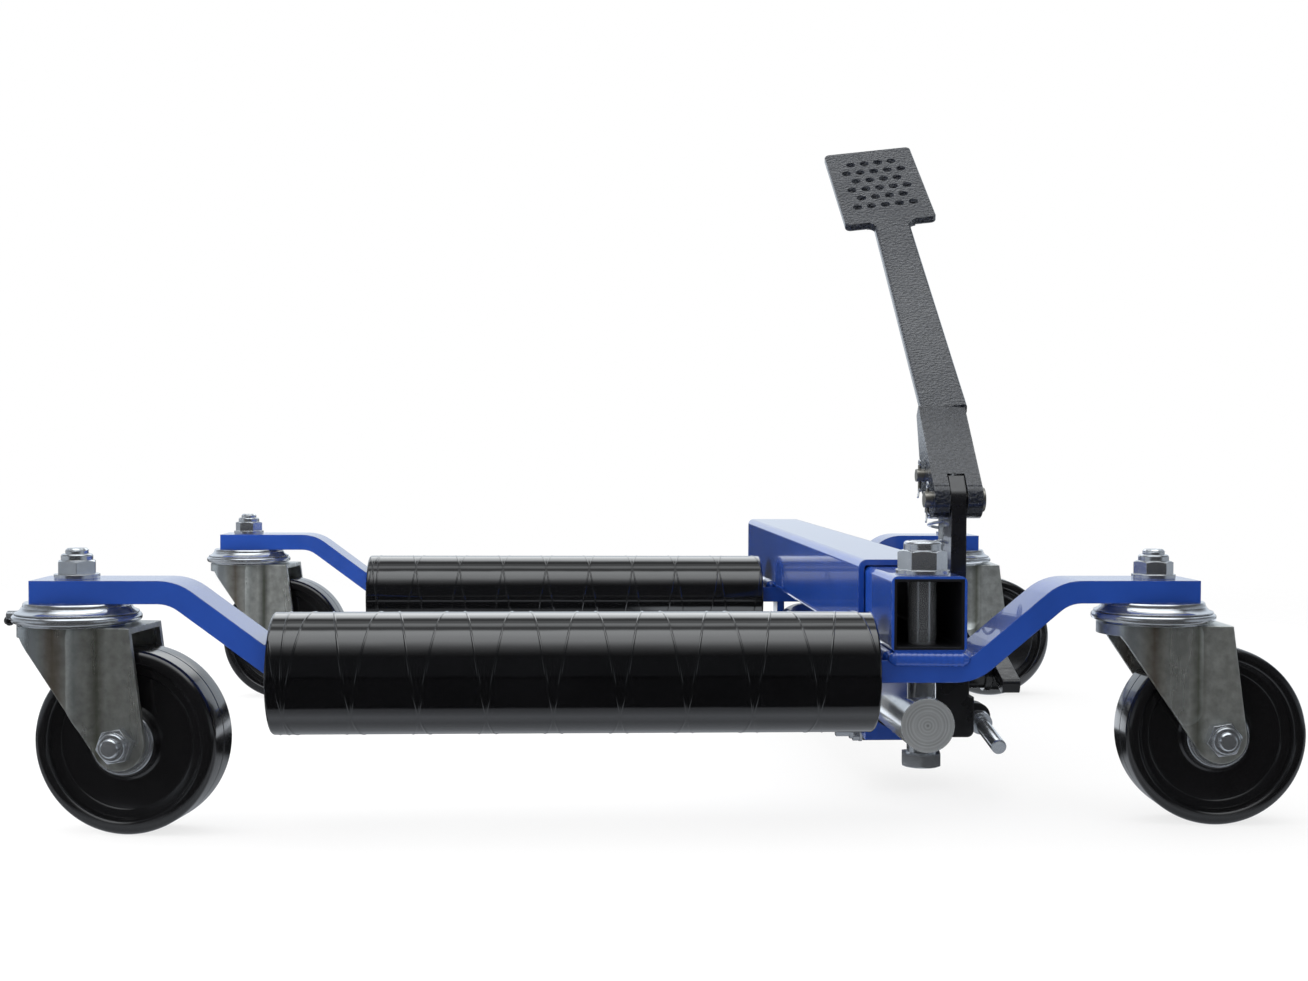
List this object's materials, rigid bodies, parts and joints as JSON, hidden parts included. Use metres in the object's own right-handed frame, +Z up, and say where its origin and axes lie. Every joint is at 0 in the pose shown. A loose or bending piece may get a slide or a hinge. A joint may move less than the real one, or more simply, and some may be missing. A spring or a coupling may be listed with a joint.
{
  "type": "vehicle positioning jack",
  "caption": "Low hydraulic wheel dolly: a sliding arm squeezes a tyre up between two rollers on swivel casters, worked by a foot pedal beside its square tube.",
  "frame": {"origin": "centre of the part's box at the floor, with the pedal up and the arms as stored", "axes": "+X along the rollers from the free end to the pump, +Y from the sliding arm to the fixed arm, +Z up"},
  "size_m": [0.7176, 0.6896, 0.4484],
  "materials": {
    "blue_paint": "gloss",
    "black_paint": "satin",
    "bright_steel": "ground",
    "zinc": "bright zinc plate",
    "fork_zinc": "dull zinc plate",
    "bronze": "machined",
    "core_steel": "mill",
    "roller_black": "gloss",
    "nylon": "moulded",
    "wheel_black": "moulded"
  },
  "bodies": {
    "frame": {"outer_tube": "blue_paint", "rear_arm": "blue_paint", "rear_arm_welds": "blue_paint", "ram_bracket": "blue_paint", "cylinder_head": "black_paint", "rod_gland": "bronze", "ram_cylinder": "black_paint", "ram_rear_eye": "black_paint", "rear_lugs": "blue_paint", "rear_pin": "zinc", "clamp_studs": "zinc", "pump_block": "black_paint", "pump_barrel": "zinc", "fulcrum_post": "black_paint", "return_spring": "zinc", "release_valve": "black_paint", "rear_kingpin_bolts": "zinc", "rear_kingpin_nuts": "zinc", "rear_caster_races": "zinc"},
    "sliding_arm": {"inner_tube": "blue_paint", "front_arm": "blue_paint", "packing_plate": "blue_paint", "front_arm_welds": "blue_paint", "ram_rod": "bright_steel", "piston": "bright_steel", "rod_bolt": "zinc", "rod_nut": "zinc", "front_kingpin_bolts": "zinc", "front_kingpin_nuts": "zinc", "front_caster_races": "zinc"},
    "front_roller": {"front_roller_tube": "core_steel", "front_roller_sleeve": "roller_black", "front_roller_bushes": "nylon"},
    "rear_roller": {"rear_roller_tube": "core_steel", "rear_roller_sleeve": "roller_black", "rear_roller_bushes": "nylon"},
    "pedal": {"pedal_lever": "black_paint", "pivot_pin": "zinc", "plunger_pin": "zinc"},
    "plunger_set": {"plunger": "bright_steel", "spring_cap": "zinc"},
    "release_pedal": {"release_lever": "black_paint"},
    "spindle": {"release_spindle": "zinc"},
    "front_left_caster": {"front_left_fork": "fork_zinc", "front_left_swivel_ring": "zinc", "front_left_axle": "zinc"},
    "front_left_rolling_wheel": {"front_left_wheel": "wheel_black"},
    "front_right_caster": {"front_right_fork": "fork_zinc", "front_right_swivel_ring": "zinc", "front_right_axle": "zinc"},
    "front_right_rolling_wheel": {"front_right_wheel": "wheel_black"},
    "rear_left_caster": {"rear_left_fork": "fork_zinc", "rear_left_swivel_ring": "zinc", "rear_left_axle": "zinc"},
    "rear_left_rolling_wheel": {"rear_left_wheel": "wheel_black"},
    "rear_right_caster": {"rear_right_fork": "fork_zinc", "rear_right_swivel_ring": "zinc", "rear_right_axle": "zinc"},
    "rear_right_rolling_wheel": {"rear_right_wheel": "wheel_black"}
  },
  "joints": [
    {"name": "arm_slide", "type": "slide", "parent": "frame", "child": "sliding_arm", "axis": [0, -1, 0], "range_m": [-0.03, 0.2]},
    {"name": "front_roller_spin", "type": "hinge", "parent": "sliding_arm", "child": "front_roller", "pos_m": [-0.21379, -0.30515, 0.08445], "axis": [1, 0, 0], "continuous": true},
    {"name": "rear_roller_spin", "type": "hinge", "parent": "frame", "child": "rear_roller", "pos_m": [-0.21879, 0.18485, 0.08445], "axis": [1, 0, 0], "continuous": true},
    {"name": "pedal_press", "type": "hinge", "parent": "frame", "child": "pedal", "pos_m": [0.18471, -0.21415, 0.178], "axis": [-1, 0, 0], "range_deg": [0, 38], "stiffness_Nm_per_rad": 6, "springref_deg": -34.38},
    {"name": "plunger_stroke", "type": "slide", "parent": "frame", "child": "plunger_set", "axis": [0, 0, -1], "range_m": [0, 0.01787], "deforming": ["return_spring"]},
    {"name": "release_press", "type": "hinge", "parent": "frame", "child": "release_pedal", "pos_m": [0.21531, -0.18115, 0.067], "axis": [1, 0, 0], "range_deg": [0, 25], "stiffness_Nm_per_rad": 0.4, "springref_deg": -28.65},
    {"name": "spindle_turn", "type": "hinge", "parent": "frame", "child": "spindle", "pos_m": [0.20271, -0.20915, 0.0397], "axis": [0, 0.9866, 0.1633], "range_deg": [0, 180]},
    {"name": "front_left_swivel", "type": "hinge", "parent": "sliding_arm", "child": "front_left_caster", "pos_m": [-0.31979, -0.30515, 0.124], "axis": [0, 0, 1], "continuous": true},
    {"name": "front_left_wheel_spin", "type": "hinge", "parent": "front_left_caster", "child": "front_left_rolling_wheel", "pos_m": [-0.2881, -0.30961, 0.05], "axis": [0.1392, 0.9903, 0], "continuous": true},
    {"name": "front_right_swivel", "type": "hinge", "parent": "sliding_arm", "child": "front_right_caster", "pos_m": [0.27621, -0.30515, 0.124], "axis": [0, 0, 1], "continuous": true},
    {"name": "front_right_wheel_spin", "type": "hinge", "parent": "front_right_caster", "child": "front_right_rolling_wheel", "pos_m": [0.30813, -0.30738, 0.05], "axis": [0.0698, 0.9976, 0], "continuous": true},
    {"name": "rear_left_swivel", "type": "hinge", "parent": "frame", "child": "rear_left_caster", "pos_m": [-0.31979, 0.18485, 0.124], "axis": [0, 0, 1], "continuous": true},
    {"name": "rear_left_wheel_spin", "type": "hinge", "parent": "rear_left_caster", "child": "rear_left_rolling_wheel", "pos_m": [-0.28796, 0.1815, 0.05], "axis": [0.1045, 0.9945, 0], "continuous": true},
    {"name": "rear_right_swivel", "type": "hinge", "parent": "frame", "child": "rear_right_caster", "pos_m": [0.27621, 0.18485, 0.124], "axis": [0, 0, 1], "continuous": true},
    {"name": "rear_right_wheel_spin", "type": "hinge", "parent": "rear_right_caster", "child": "rear_right_rolling_wheel", "pos_m": [0.30813, 0.18262, 0.05], "axis": [0.0698, 0.9976, 0], "continuous": true}
  ],
  "couplings": [
    {"joint": "plunger_stroke", "follows": "pedal_press", "m_per_rad": 0.026192}
  ]
}
